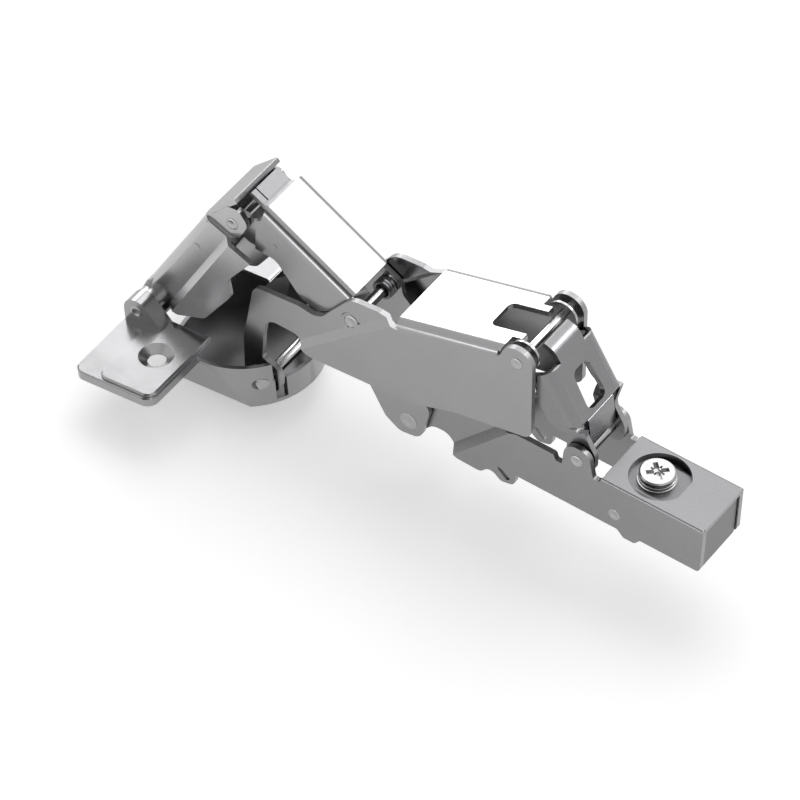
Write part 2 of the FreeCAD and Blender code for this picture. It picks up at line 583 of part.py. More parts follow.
# Cup lever, a channel whose web faces the door edge; its flanges step in round the lever pin and flare out over
# the outer arm, and the web runs on past them as a flat cap
def cup_lever():
    along, length = direction(knuckle_pin, lever_pin)
    out = (-along.z, along.x)

    def spot(pin, run, offset, radius=0.0):
        return (pin[0] + along.x * run + out[0] * offset, pin[1] + along.z * run + out[1] * offset, radius)

    web_start = spot(knuckle_pin, 1.0, 3.5)
    web_end = spot(lever_pin, -2.0, 5.8)
    web = channel(web_start, web_end, 1, lever_half_width, lever_wall, 2.2, 12.0)
    wall_low = lever_half_width - lever_wall
    crease_foot = spot(knuckle_pin, 2.0, -4.6)
    crease_head = spot(lever_pin, -4.6, -2.2)
    step_low = near(lever_pin, -0.7, -4.0)
    step_high = near(lever_pin, -7.2, -1.5)
    left_of_crease = slab(outline([spot(knuckle_pin, -30.0, -4.6 + 1.83), spot(lever_pin, 30.0, -2.2 - 2.0),
                                   spot(lever_pin, 30.0, 60.0), spot(knuckle_pin, -30.0, 60.0)]), -wide, wide)
    run, reach = direction(step_high, step_low)
    over_step = slab(outline([(step_high[0] - run.x * 20, step_high[1] - run.z * 20, 0),
                              (step_low[0] + run.x * 20, step_low[1] + run.z * 20, 0),
                              (step_low[0] + run.x * 20 - run.z * 30, step_low[1] + run.z * 20 + run.x * 30, 0),
                              (step_high[0] - run.x * 20 - run.z * 30, step_high[1] - run.z * 20 + run.x * 30, 0)]), -wide, wide)
    strip_side = [spot(knuckle_pin, 1.0, 3.6, 0), spot(lever_pin, 4.0, 5.9, 0), spot(lever_pin, 4.0, -8.0, 0),
                  spot(knuckle_pin, 4.0, -8.0, 1.0), spot(knuckle_pin, 2.2, -3.4, 1.0), spot(knuckle_pin, 1.0, 0.0, 0)]
    strips = web.common(slab(outline(strip_side), -wide, wide)).common(left_of_crease).cut(over_step)
    flare = stepped_sheet(crease_foot, crease_head, (wall_low, lever_half_width),
                          (skirt_half_width - lever_wall, skirt_half_width), 1.8, far)
    skirt_side = [spot(lever_pin, -6.2, 1.5, 0), spot(lever_pin, -2.9, -0.6, 0.6), spot(lever_pin, -1.5, -4.2, 2.0),
                  spot(knuckle_pin, 42.0, -7.2, 1.6),
                  spot(knuckle_pin, 39.6, -9.4, 1.6), spot(knuckle_pin, 28.2, -8.6, 2.0),
                  spot(knuckle_pin, 24.6, -11.9, 1.6), spot(knuckle_pin, 11.5, -11.6, 3.0),
                  spot(knuckle_pin, 4.6, -6.8, 2.0), spot(knuckle_pin, 3.0, -3.0, 0.5), spot(knuckle_pin, 6.0, 0.5, 0)]
    skirts = both_sides(slab(outline(skirt_side), 0, wide).common(flare).cut(over_step))
    ear_side = [near(lever_pin, -6.6, -2.6, 0), near(lever_pin, -5.6, -0.4, 0.6), near(lever_pin, -1.4, 4.6, 1.0),
                near(lever_pin, 1.6, 5.0, 1.6), near(lever_pin, 4.4, 1.6, 2.4), near(lever_pin, 1.8, -3.6, 2.4),
                near(lever_pin, -0.9, -4.6, 0.4), near(lever_pin, -3.0, -5.4, 0)]
    ear_sheet = stepped_sheet(step_high, step_low, (wall_low - outer_arm_pinch, lever_half_width - outer_arm_pinch),
                              (wall_low, lever_half_width), 0.9, far)
    ears = both_sides(slab(outline(ear_side), 0, wide).common(ear_sheet))
    cap_start = spot(lever_pin, -9.0, 5.34)
    cap_side = outline([(cap_start[0], cap_start[1], 0), (web_end[0], web_end[1], 4.0), near(lever_pin, 0.3, 7.8, 0.2),
                        near(lever_pin, 1.2, 6.85, 0.2), (web_end[0] + 1.12, web_end[1] - 0.66, 3.0),
                        (cap_start[0] + 1.12, cap_start[1] - 0.66, 0)])
    cap = slab(cap_side, -lever_half_width + 0.9, lever_half_width - 0.9)
    cap = cap.common(joined([over_step, web]))
    mark = rod(near(lever_pin, -9.1, -12.3), 1.1, lever_half_width - 0.5, lever_half_width + 0.1)
    barrel = rod(knuckle_pin, barrel_radius, -knuckle_inner + 0.3, knuckle_inner - 0.3)
    bridge = outline([spot(knuckle_pin, 0, barrel_radius, 0), spot(knuckle_pin, 3.4, 3.66, 0), spot(knuckle_pin, 3.4, 2.0, 0),
                      spot(knuckle_pin, 0, 1.8, 0)])
    wrap = slab(bridge, -knuckle_inner + 2.2, knuckle_inner - 2.2)
    body = joined([strips, cap, skirts, ears, barrel, wrap, both_sides(mark)])
    body = body.cut(rod(knuckle_pin, pin_radius + running_gap, -wide, wide))
    return body.cut(rod(lever_pin, pin_radius, -wide, wide))


# Cup, drawn with a round rim, flats where the cup pin ends and two flange wings with countersunk holes
def cup():
    """Built upright round its own centre, then tilted and carried to the cup pin."""
    pin_in_cup = (12.2, -5.15)
    knuckle_in_cup = in_cup_frame(knuckle_pin)
    outer = Part.makeCylinder(cup_radius, cup_depth, Vector(0, 0, -cup_depth))
    hollow = Part.makeCylinder(cup_radius - cup_wall, cup_depth, Vector(0, 0, -cup_depth + cup_wall))
    flat_foot = 14.3
    slope_top = -1.0
    for sign in (-1, 1):
        outer = outer.cut(flat_wedge(sign, cup_radius, flat_foot, slope_top, 0))
        hollow = hollow.cut(flat_wedge(sign, cup_radius, flat_foot, slope_top, cup_wall))
    flange = box_between((-flange_front, -flange_reach, -flange_drop), (-1.4, flange_reach, flange_top))
    flange = flange.makeFillet(2.8, [edge for edge in flange.Edges if edge.BoundBox.ZLength > flange_top + flange_drop - 0.01])
    rim = [edge for edge in flange.Edges if edge.BoundBox.ZMin > flange_top - 0.01]
    flange = flange.makeChamfer(0.35, rim)
    under = box_between((-15.6, -flange_reach + flange_wall, -flange_drop - 1),
                        (-1.4 - flange_wall, flange_reach - flange_wall, 0))
    under = under.makeFillet(1.7, [edge for edge in under.Edges if edge.BoundBox.ZLength > flange_drop])
    raised = box_between((-16.8, -flange_reach + 2.4, flange_top - 0.2), (-1.8, flange_reach - 2.4, flange_top + raised_step))
    raised = raised.makeFillet(2.2, [edge for edge in raised.Edges if edge.BoundBox.ZLength > raised_step])
    brim = [edge for edge in raised.Edges if edge.BoundBox.ZMin > flange_top + raised_step - 0.01]
    raised = raised.makeChamfer(0.4, brim)
    wings = joined([flange.cut(under), raised])
    trench = box_between((-30, -knuckle_inner - 0.1, flange_top - 0.3), (4, knuckle_inner + 0.1, 4))
    wings = wings.cut(trench).cut(box_between((-30, -knuckle_inner - 0.1, -flange_drop - 1), (0, knuckle_inner + 0.1, -0.001)))
    body = joined([outer, wings])
    body = body.cut(hollow)
    body = body.cut(box_between((-16.8, -knuckle_inner - 0.1, -0.5), (4, knuckle_inner + 0.1, 4)))
    body = body.cut(box_between((-19.0, -knuckle_inner - 0.1, -3.2), (-8, knuckle_inner + 0.1, 0)))
    body = body.cut(box_between((-19.0, -middle_nose_half_width - 0.6, -7.2), (-8, middle_nose_half_width + 0.6, 0)))
    for sign in (-1, 1):
        hole = Part.makeCylinder(screw_hole_radius, 6, Vector(-screw_back, sign * screw_spacing / 2, -3))
        sink = Part.makeCone(screw_hole_radius, countersink_radius, 1.4,
                             Vector(-screw_back, sign * screw_spacing / 2, flange_top + raised_step - 1.4))
        body = body.cut(hole).cut(sink)
    doorway = box_between((13.6, -10.2, -5.2), (20, 10.2, 4))
    body = body.cut(doorway)
    for sign in (-1, 1):
        low = min(sign * (middle_nose_half_width - middle_wall - 0.5), sign * (middle_nose_half_width + 0.6))
        high = max(sign * (middle_nose_half_width - middle_wall - 0.5), sign * (middle_nose_half_width + 0.6))
        body = body.cut(box_between((13.0, low, -cup_depth + cup_wall), (20, high, 4)))
    for sign in (-1, 1):
        low = min(sign * knuckle_inner, sign * knuckle_outer)
        high = max(sign * knuckle_inner, sign * knuckle_outer)
        foot = (knuckle_in_cup[0] + 6.9, flange_top + raised_step)
        span = math.hypot(foot[0] - knuckle_in_cup[0], foot[1] - knuckle_in_cup[1])
        lean = math.atan2(knuckle_in_cup[1] - foot[1], knuckle_in_cup[0] - foot[0]) - math.asin(knuckle_radius / span)
        leg = math.sqrt(span ** 2 - knuckle_radius ** 2)
        touch = (foot[0] + leg * math.cos(lean), foot[1] + leg * math.sin(lean))
        ear = outline([(knuckle_in_cup[0] - knuckle_radius, flange_top - 0.5, 0),
                       (knuckle_in_cup[0] - knuckle_radius, knuckle_in_cup[1], 0), (knuckle_in_cup[0], knuckle_in_cup[1], 0),
                       (touch[0], touch[1], 0), (foot[0], foot[1], 0), (foot[0], flange_top - 0.5, 0)])
        body = joined([body, slab(ear, low, high), rod(knuckle_in_cup, knuckle_radius, low, high)])
    body = body.cut(rod(knuckle_in_cup, pin_radius, -wide, wide))
    body = body.cut(rod(pin_in_cup, cup_pin_radius, -wide, wide))
    return placed_cup(body)


def flat_wedge(sign, top_y, foot_y, top_z, inset):
    """Everything outside a leaning flat that takes the cup's side from round at the rim to straight below."""
    bottom = -cup_depth - 1.0
    slope = (top_y - foot_y) / (cup_depth + top_z)
    low_y = foot_y - slope * 1.0 - inset
    high_y = top_y + slope * 3.0 - inset
    points = [Vector(-30, sign * low_y, bottom), Vector(-30, sign * high_y, top_z + 3.0),
              Vector(-30, sign * 40, top_z + 3.0), Vector(-30, sign * 40, bottom)]
    return Part.Face(Part.makePolygon(points + points[:1])).extrude(Vector(60, 0, 0))


def in_cup_frame(pin):
    """The pin's place in the cup's own frame, where the cup pin stands at its fixed place."""
    angle = math.radians(cup_tilt)
    run = pin[0] - cup_pin[0]
    rise = pin[1] - cup_pin[1]
    return (12.2 + run * math.cos(angle) + rise * math.sin(angle), -5.15 - run * math.sin(angle) + rise * math.cos(angle))


def placed_cup(shape):
    moved = shape.copy()
    moved.translate(Vector(-12.2, 0, 5.15))
    moved.rotate(Vector(0, 0, 0), Vector(0, 1, 0), -cup_tilt)
    moved.translate(Vector(cup_pin[0], 0, cup_pin[1]))
    return moved


def washer(centre, radius, bore, low):
    return rod(centre, radius, low, low + washer_wall).cut(rod(centre, bore, -wide, wide))


def closing_spring():
    turns = 3
    first = outer_arm_half_width - outer_arm_wall - 0.2 - washer_wall - turns * 2.04 * spring_wire_radius
    return coil(cross_pin, spring_coil_radius, spring_wire_radius, first, turns,
                [(0, 200.0, 1.8), (turns - 1, 20.0, 1.8)])


def latch_spring():
    turns = 3
    first = -turns * 1.02 * latch_wire_radius
    return coil(latch_pivot, 2.1, latch_wire_radius, first, turns, [(0, 205.0, 4.0), (turns - 1, 0.0, 2.8)])


def headed_pin(centre, radius, end_radius, reach, height):
    """Pin with a shallow riveted end outside each wall."""
    shaft = rod(centre, radius, -reach, reach)
    head = rod(centre, end_radius, reach, reach + height)
    rim = [edge for edge in head.Edges if edge.BoundBox.YMin > reach + height - 1e-6]
    head = head.makeChamfer(height * 0.6, rim)
    return joined([shaft, head, mirrored(head)])


if __name__ == "__main__":
    save("base_arm", base_arm())
    save("plate_carrier", carrier())
    save("cam_screw", cam_screw())
    save("cam_disc", cam_disc())
    save("clip_latch", clip_latch())
    save("rear_lever", rear_lever())
    save("middle_arm", middle_arm())
    save("outer_arm", outer_arm())
    save("cup_lever", cup_lever())
    save("cup", cup())
    save("front_pivot_pin", headed_pin(front_pin, pin_radius, head_radius, outer_arm_half_width + 0.02, low_head_height))
    save("rear_pivot_pin", headed_pin(rear_pin, pin_radius, pin_radius, arm_half_width, head_height))
    save("top_pivot_pin", headed_pin(top_pin, top_pin_radius, small_end_radius, middle_half_width, head_height))
    save("cross_pivot_pin", headed_pin(cross_pin, cross_pin_radius, cross_head_radius, middle_nose_half_width - 0.25, head_height + 0.05))
    save("lever_pivot_pin", headed_pin(lever_pin, pin_radius, pin_radius, lever_half_width - outer_arm_pinch, head_height))
    save("knuckle_pin", rod(knuckle_pin, pin_radius, -knuckle_outer - 0.1, knuckle_outer + 0.1))
    save("cup_pin", rod(cup_pin, cup_pin_radius, -12.9, 12.9))
    save("latch_pin", rod(latch_pivot, latch_pin_radius, -arm_half_width - 0.1, arm_half_width + 0.1))
    save("near_top_washer", washer(top_pin, washer_radius, top_pin_radius, -rear_lever_half_width + rear_lever_wall + 0.1))
    save("far_top_washer", washer(top_pin, washer_radius, top_pin_radius,
                                  rear_lever_half_width - rear_lever_wall - 0.1 - washer_wall))
    save("spring_washer", washer(cross_pin, spring_washer_radius, cross_pin_radius,
                                 outer_arm_half_width - outer_arm_wall - 0.1 - washer_wall))
    save("closing_spring", closing_spring())
    save("latch_spring", latch_spring())
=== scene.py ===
import math

import bmesh
import bpy
from mathutils import Matrix, Vector


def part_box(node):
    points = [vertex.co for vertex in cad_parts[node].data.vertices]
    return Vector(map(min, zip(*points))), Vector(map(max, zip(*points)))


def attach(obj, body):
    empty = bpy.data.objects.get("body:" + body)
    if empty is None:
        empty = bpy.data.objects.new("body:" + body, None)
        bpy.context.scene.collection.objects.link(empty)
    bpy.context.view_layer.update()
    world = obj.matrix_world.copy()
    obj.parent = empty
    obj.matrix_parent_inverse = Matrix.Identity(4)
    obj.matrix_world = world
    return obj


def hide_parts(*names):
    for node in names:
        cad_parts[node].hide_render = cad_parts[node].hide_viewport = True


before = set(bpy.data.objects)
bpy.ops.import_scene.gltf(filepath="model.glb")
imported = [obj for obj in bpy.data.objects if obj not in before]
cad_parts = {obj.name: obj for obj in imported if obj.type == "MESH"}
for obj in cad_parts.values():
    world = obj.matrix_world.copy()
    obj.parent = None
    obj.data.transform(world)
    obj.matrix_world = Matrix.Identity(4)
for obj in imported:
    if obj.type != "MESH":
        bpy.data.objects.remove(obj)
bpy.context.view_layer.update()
MM = 0.001


# Base arm
# The arm that clips to the cabinet's plate: one strip of steel folded to a box-like channel with a pinched nose.
# It is blanked, pierced, folded and barrel-plated with bright nickel, which leaves faint clouds and hairlines.
def plated_surface_group():
    cloud_scale, speck_scale = 90.0, 2400.0
    hairline_scale = (260.0, 2600.0, 1900.0)
    group = bpy.data.node_groups.new("plated surface", "ShaderNodeTree")
    for name, default in (("Cloud", 0.10), ("Grain", 0.06), ("Base roughness", 0.24), ("Shade", 0.10)):
        socket = group.interface.new_socket(name, in_out="INPUT", socket_type="NodeSocketFloat")
        socket.default_value = default
    group.interface.new_socket("Tint", in_out="INPUT", socket_type="NodeSocketColor")
    group.interface.new_socket("Color", in_out="OUTPUT", socket_type="NodeSocketColor")
    group.interface.new_socket("Roughness", in_out="OUTPUT", socket_type="NodeSocketFloat")
    group.interface.new_socket("Height", in_out="OUTPUT", socket_type="NodeSocketFloat")
    nodes, links = group.nodes, group.links
    given = nodes.new("NodeGroupInput")
    out = nodes.new("NodeGroupOutput")
    place = nodes.new("ShaderNodeTexCoord")

    def noise(vector, scale, detail):
        texture = nodes.new("ShaderNodeTexNoise")
        texture.inputs["Scale"].default_value = scale
        texture.inputs["Detail"].default_value = detail
        links.new(vector, texture.inputs["Vector"])
        return texture.outputs["Fac"]

    def combine(operation, first, second):
        node = nodes.new("ShaderNodeMath")
        node.operation = operation
        for slot, value in zip(node.inputs, (first, second)):
            if isinstance(value, float):
                slot.default_value = value
            else:
                links.new(value, slot)
        return node.outputs[0]

    cloud = noise(place.outputs["Object"], cloud_scale, 4.0)
    rolled = nodes.new("ShaderNodeMapping")
    rolled.inputs["Scale"].default_value = hairline_scale
    links.new(place.outputs["Object"], rolled.inputs["Vector"])
    grain = noise(rolled.outputs["Vector"], 1.0, 3.0)
    specks = noise(place.outputs["Object"], speck_scale, 2.0)
    even_cloud = combine("SUBTRACT", cloud, 0.5)
    rough = combine("MULTIPLY", even_cloud, given.outputs["Cloud"])
    rough = combine("ADD", rough, combine("MULTIPLY", grain, given.outputs["Grain"]))
    links.new(combine("ADD", rough, given.outputs["Base roughness"]), out.inputs["Roughness"])
    shade = combine("MULTIPLY", even_cloud, given.outputs["Shade"])
    shade = combine("ADD", shade, combine("MULTIPLY", combine("SUBTRACT", specks, 0.5), given.outputs["Shade"]))
    tinted = nodes.new("ShaderNodeVectorMath")
    tinted.operation = "SCALE"
    links.new(given.outputs["Tint"], tinted.inputs[0])
    links.new(combine("ADD", shade, 1.0), tinted.inputs["Scale"])
    links.new(tinted.outputs["Vector"], out.inputs["Color"])
    links.new(combine("ADD", grain, combine("MULTIPLY", specks, 0.5)), out.inputs["Height"])
    return group


plated_surface = plated_surface_group()


def metal(name, tint, roughness, cloud=0.10, grain=0.06, shade=0.10, grain_height=0.003):
    material = bpy.data.materials.new(name)
    material.use_nodes = True
    nodes, links = material.node_tree.nodes, material.node_tree.links
    shader = nodes["Principled BSDF"]
    shader.inputs["Metallic"].default_value = 1.0
    surface = nodes.new("ShaderNodeGroup")
    surface.node_tree = plated_surface
    surface.inputs["Tint"].default_value = (*tint, 1.0)
    for socket, value in (("Base roughness", roughness), ("Cloud", cloud), ("Grain", grain), ("Shade", shade)):
        surface.inputs[socket].default_value = value
    links.new(surface.outputs["Color"], shader.inputs["Base Color"])
    links.new(surface.outputs["Roughness"], shader.inputs["Roughness"])
    bump = nodes.new("ShaderNodeBump")
    bump.inputs["Distance"].default_value = grain_height * MM
    links.new(surface.outputs["Height"], bump.inputs["Height"])
    links.new(bump.outputs["Normal"], shader.inputs["Normal"])
    return material


bright_plate = metal("bright nickel plate", (0.32, 0.32, 0.325), 0.20, shade=0.14)
arm_plate = metal("clouded nickel plate", (0.275, 0.275, 0.28), 0.27, cloud=0.14, shade=0.14)
# Faces of the base arm that look up get this darker tint as painted shade; its clouding is the plate's own.
arm_top_painted_shade = metal("clouded arm top, painted shade", (0.215, 0.215, 0.22), 0.30, cloud=0.14, shade=0.22)
# The rounded edges get this light tint, a painted highlight along every bevel.
edge_highlight_paint = metal("painted edge highlight", (0.62, 0.62, 0.62), 0.26, shade=0.5)
blanked_edge = metal("blanked edge", (0.30, 0.30, 0.305), 0.36, shade=0.5, grain=0.12, grain_height=0.02)

# All pieces are gathered here too, because three of the lamps light the metal and not the floor.
hinge_pieces = bpy.data.collections.new("hinge pieces")


# A flat face keeps its own normal up to its rim, and the narrow faces of a bend lean towards it.
def flat_shading(mesh, angle):
    flat_area = 0.6 * MM * MM
    meeting = [[] for _ in mesh.vertices]
    for face in mesh.polygons:
        for corner in face.vertices:
            meeting[corner].append((face.normal.copy(), face.area))
    limit = math.cos(angle)
    normals = []
    for face in mesh.polygons:
        for corner in face.vertices:
            if face.area > flat_area:
                normals.append(face.normal.copy())
                continue
            total = Vector((0.0, 0.0, 0.0))
            for normal, area in meeting[corner]:
                if normal.dot(face.normal) > limit:
                    total += normal * area
            normals.append(total.normalized() if total.length > 0.0 else face.normal.copy())
    mesh.normals_split_custom_set(normals)


# The metals of one piece in the order of its slots: the skin, the cut edges, a place painted darker as painted
# shade, and the rounded edges painted lighter as a painted highlight.
SKIN, CUT, PAINTED_SHADE, PAINTED_HIGHLIGHT = range(4)


# A copy of the solid gets the barrel's rounding on its sharp edges, and its cut edges their duller metal.
# Edge is the rounding's width and wall the strip's thickness, both in millimetres; angle is in degrees.
def sheet_piece(node, body, skin, edge=0.12, angle=32.0, cut=None, wall=1.7, shape=None, painted_shade_skin=None,
                painted_shade_faces=None):
    weld_distance = 0.002 * MM
    same_plane = math.radians(0.6)
    side_facing = 0.03
    bend_angle = math.radians(angle)
    mesh = bpy.data.meshes.new(node + "_skin")
    form = bmesh.new()
    form.from_mesh(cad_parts[node].data)
    bmesh.ops.remove_doubles(form, verts=form.verts, dist=weld_distance)
    bmesh.ops.dissolve_limit(form, angle_limit=same_plane, verts=form.verts, edges=form.edges)
    if shape is not None:
        shape(form)
    form.normal_update()
    for face in form.faces:
        face.material_index = SKIN
        across = [corner.co.y for corner in face.verts]
        if cut is not None and abs(face.normal.y) < side_facing and max(across) - min(across) < wall * MM:
            face.material_index = CUT
        # Faces chosen by the piece's test take its metal painted darker as shade.
        if painted_shade_faces is not None and painted_shade_faces(face):
            face.material_index = PAINTED_SHADE
    for metal_kind in (skin, cut or skin, painted_shade_skin or skin, edge_highlight_paint):
        mesh.materials.append(metal_kind)
    form.to_mesh(mesh)
    form.free()
    mesh.shade_smooth()
    mesh.set_sharp_from_angle(angle=bend_angle)
    piece = bpy.data.objects.new(node + "_piece", mesh)
    bpy.context.collection.objects.link(piece)
    rim = piece.modifiers.new("rounded edges", "BEVEL")
    rim.width = edge * MM
    rim.segments = 2
    rim.limit_method = "ANGLE"
    # The bevel's faces take the painted highlight.
    rim.material = PAINTED_HIGHLIGHT
    rim.angle_limit = bend_angle
    rounded = bpy.data.meshes.new_from_object(piece.evaluated_get(bpy.context.evaluated_depsgraph_get()))
    piece.modifiers.clear()
    piece.data = rounded
    flat_shading(rounded, bend_angle)
    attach(piece, body)
    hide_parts(node)
    hinge_pieces.objects.link(piece)


def faces_up(face):
    return face.normal.z > 0.9


sheet_piece("base_arm", "base", arm_plate, cut=blanked_edge, painted_shade_skin=arm_top_painted_shade, painted_shade_faces=faces_up)

# Plate carrier and clip latch
# The inner channel that carries the cam screw, and the latch behind it that clips the arm to its plate.
# Both are pressed from satin plated strip, and both are painted darker throughout as painted shade for the carrier's
# place under the arm's web; the latch turns on its own pin.
satin_plate_painted_shade = metal("satin nickel plate, painted shade", (0.165, 0.165, 0.17), 0.34, cloud=0.16, shade=0.16)
for node, body in (("plate_carrier", "base"), ("clip_latch", "latch")):
    sheet_piece(node, body, satin_plate_painted_shade)

# Cam screw
# A turned head with grooves and a star recess over a wider foot; its disc is riveted under the carrier.
screw_metal = metal("turned screw steel", (0.42, 0.42, 0.42), 0.20)
for node in ("cam_screw", "cam_disc"):
    sheet_piece(node, "cam", screw_metal, edge=0.06)

# Rear lever
# A folded channel with a pierced window, a rolled tab over its upper pin and two ears on the rear pin.
# It is of the same bright plated strip as the arm.
lever_plate = metal("rear lever plate", (0.235, 0.235, 0.24), 0.24, cloud=0.12, shade=0.12)
sheet_piece("rear_lever", "rear_link", lever_plate, cut=blanked_edge)

# Middle arm
# The widest link: a plate folded down on both long sides, with hooked legs that run into the cup.
# Blanked from thick strip, folded and plated; both of its pins are riveted over its side walls.
sheet_piece("middle_arm", "middle_link", bright_plate, cut=blanked_edge)

# Outer arm
# The long link between the front pin and the cup lever, a narrow channel with a smooth polished web.
# Its set-down tongue under the lever's cap is duller and rubbed, and its darker tint is painted shade.
tongue_wear_and_shade = metal("rubbed tongue, painted shade", (0.26, 0.26, 0.265), 0.42, cloud=0.20, shade=0.30)
tongue_reach, tongue_height = 13.5 * MM, 1.0 * MM
lever_low, lever_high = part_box("lever_pivot_pin")
lever_axis = Vector(((lever_low[0] + lever_high[0]) / 2, 0.0, (lever_low[2] + lever_high[2]) / 2))


def on_tongue(face):
    middle = face.calc_center_median() - lever_axis
    return math.hypot(middle.x, middle.z) < tongue_reach and middle.z > tongue_height and face.normal.z > 0.5


sheet_piece("outer_arm", "outer_link", bright_plate, cut=blanked_edge, painted_shade_skin=tongue_wear_and_shade,
            painted_shade_faces=on_tongue)

# Cup lever
# The lever between the outer arm and the cup: a channel whose sides flare out over the arm and end in a flat cap.
# It is folded from one plated blank, and its ears are riveted to the pin that it turns on.
cup_lever_plate = metal("cup lever plate", (0.45, 0.45, 0.455), 0.22, shade=0.14)
# The cap's faces that do not look sideways get this darker copy of the lever's plate as painted shade.
cap_painted_shade = metal("cup lever cap, painted shade", (0.25, 0.25, 0.255), 0.22, shade=0.14)
cap_reach, cap_height = 9.0 * MM, 0.5 * MM


def on_cap(face):
    middle = face.calc_center_median() - lever_axis
    return math.hypot(middle.x, middle.z) < cap_reach and middle.z > cap_height and abs(face.normal.y) < 0.5


sheet_piece("cup_lever", "cup_link", cup_lever_plate, cut=blanked_edge, painted_shade_skin=cap_painted_shade, painted_shade_faces=on_cap)

# Cup
# The 35 mm pressed cup with its two-screw flange and the folded knuckles that hold the lever's pin.
# The flange's raised plate is drawn out to its two ends, which the press leaves softly rounded.
cup_tilt = math.radians(7.0)
cup_radius = 17.5 * MM
cup_pin_forward, cup_pin_depth = 12.2 * MM, 5.15 * MM
cup_along = Vector((math.cos(cup_tilt), 0.0, math.sin(cup_tilt)))
cup_rise = Vector((-math.sin(cup_tilt), 0.0, math.cos(cup_tilt)))
pin_low, pin_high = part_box("cup_pin")
cup_pin_place = Vector(((pin_low[0] + pin_high[0]) / 2, 0.0, (pin_low[2] + pin_high[2]) / 2))
cup_centre = cup_pin_place - cup_along * cup_pin_forward + cup_rise * cup_pin_depth
raised_plate_height, raised_plate_inner, raised_plate_outer = 1.05 * MM, 29.5 * MM, 33.2 * MM
raised_plate_growth = 1.75 * MM


def draw_out_flange(form):
    for corner in form.verts:
        height = (corner.co - cup_centre).dot(cup_rise)
        reach = abs(corner.co.y)
        if height > raised_plate_height and raised_plate_inner < reach < raised_plate_outer:
            corner.co.y += math.copysign(raised_plate_growth, corner.co.y)


# Inside the bowl, which lies in its own shade, the plating is rougher and painted dark as painted shade.
bowl_painted_shade = metal("bowl plate, painted shade", (0.20, 0.20, 0.205), 0.34, cloud=0.16, shade=0.2)
bowl_top, bowl_radius = -0.5 * MM, 16.9 * MM


def in_bowl(face):
    middle = face.calc_center_median() - cup_centre
    height = middle.dot(cup_rise)
    outwards = middle - cup_rise * height
    inward_or_up = face.normal.dot(outwards) < 0.0 or face.normal.dot(cup_rise) > 0.9
    return height < bowl_top and outwards.length < bowl_radius and inward_or_up


sheet_piece("cup", "door_cup", bright_plate, cut=blanked_edge, shape=draw_out_flange, painted_shade_skin=bowl_painted_shade,
            painted_shade_faces=in_bowl)

# Riveted pins
# Turned steel pins that join the links. Each end is riveted by a spinning punch, which leaves a low
# rounded button with a shallow ring pressed into it.
pin_metal = metal("plated pin steel", (0.40, 0.40, 0.40), 0.22)


# Shaft and button are radii and rise is the button's height over the wall, all in millimetres.
# The profile runs from the dimple out over the ring and the rounded rim, down to the wall.
def riveted_pin(node, body, shaft, button, rise, trim=()):
    dimple_depth = 0.10 * MM
    turn_steps = 40
    low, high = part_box(node)
    run, height = (low[0] + high[0]) / 2, (low[2] + high[2]) / 2
    reach = high[1]
    wall = reach - rise * MM
    profile = [(0.0, reach - dimple_depth), (0.50 * button * MM, reach - dimple_depth),
               (0.60 * button * MM, reach), (0.80 * button * MM, reach),
               (0.94 * button * MM, reach - 0.35 * rise * MM), (button * MM, wall + 0.2 * rise * MM),
               (button * MM, wall)]
    if button > shaft:
        profile.append((shaft * MM, wall))
    profile += [(radius, -along) for radius, along in reversed(profile)]
    form = bmesh.new()
    line = [form.verts.new((radius, along, 0.0)) for radius, along in profile]
    edges = [form.edges.new(pair) for pair in zip(line, line[1:])]
    bmesh.ops.spin(form, geom=line + edges, axis=(0, 1, 0), cent=(0, 0, 0), angle=math.tau, steps=turn_steps,
                   use_merge=True)
    bmesh.ops.remove_doubles(form, verts=form.verts, dist=0.001 * MM)
    bmesh.ops.translate(form, verts=form.verts, vec=(run, 0.0, height))
    for point, outwards in trim:
        cut = bmesh.ops.bisect_plane(form, geom=form.verts[:] + form.edges[:] + form.faces[:], dist=0.0001 * MM,
                                     plane_co=point, plane_no=outwards, clear_outer=True)
        rim = [part for part in cut["geom_cut"] if isinstance(part, bmesh.types.BMEdge)]
        bmesh.ops.contextual_create(form, geom=rim)
    bmesh.ops.recalc_face_normals(form, faces=form.faces)
    mesh = bpy.data.meshes.new(node + "_turned")
    form.to_mesh(mesh)
    form.free()
    mesh.materials.append(pin_metal)
    mesh.shade_smooth()
    mesh.set_sharp_from_angle(angle=math.radians(50.0))
    piece = bpy.data.objects.new(node + "_piece", mesh)
    bpy.context.collection.objects.link(piece)
    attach(piece, body)
    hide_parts(node)
    hinge_pieces.objects.link(piece)


# The cup's pin is ground flush with the round wall that it passes through.
cup_wall_angle = math.acos(cup_pin_forward / cup_radius)
flush_radius = cup_radius + 0.05 * MM
flush = []
for side in (1, -1):
    outwards = cup_along * math.cos(cup_wall_angle) + Vector((0, side * math.sin(cup_wall_angle), 0))
    flush.append((cup_centre - cup_rise * cup_pin_depth + outwards * flush_radius, outwards))
riveted_pin("cup_pin", "door_cup", 1.5, 1.5, 0.1, trim=flush)

for node, body, shaft, button, rise in (
        ("front_pivot_pin", "base", 1.6, 2.2, 0.12),
        ("rear_pivot_pin", "base", 1.6, 1.6, 0.25),
        ("top_pivot_pin", "middle_link", 1.1, 1.55, 0.25),
        ("cross_pivot_pin", "middle_link", 1.3, 1.9, 0.3),
        ("lever_pivot_pin", "cup_link", 1.6, 1.6, 0.25),
        ("knuckle_pin", "door_cup", 1.6, 1.6, 0.1),
        ("latch_pin", "base", 1.5, 1.5, 0.1)):
    riveted_pin(node, body, shaft, button, rise)

# Washers
# Thin plated rings between the links on the two upper pins, punched and tumbled.
for node in ("near_top_washer", "far_top_washer", "spring_washer"):
    sheet_piece(node, "middle_link", pin_metal, edge=0.05)

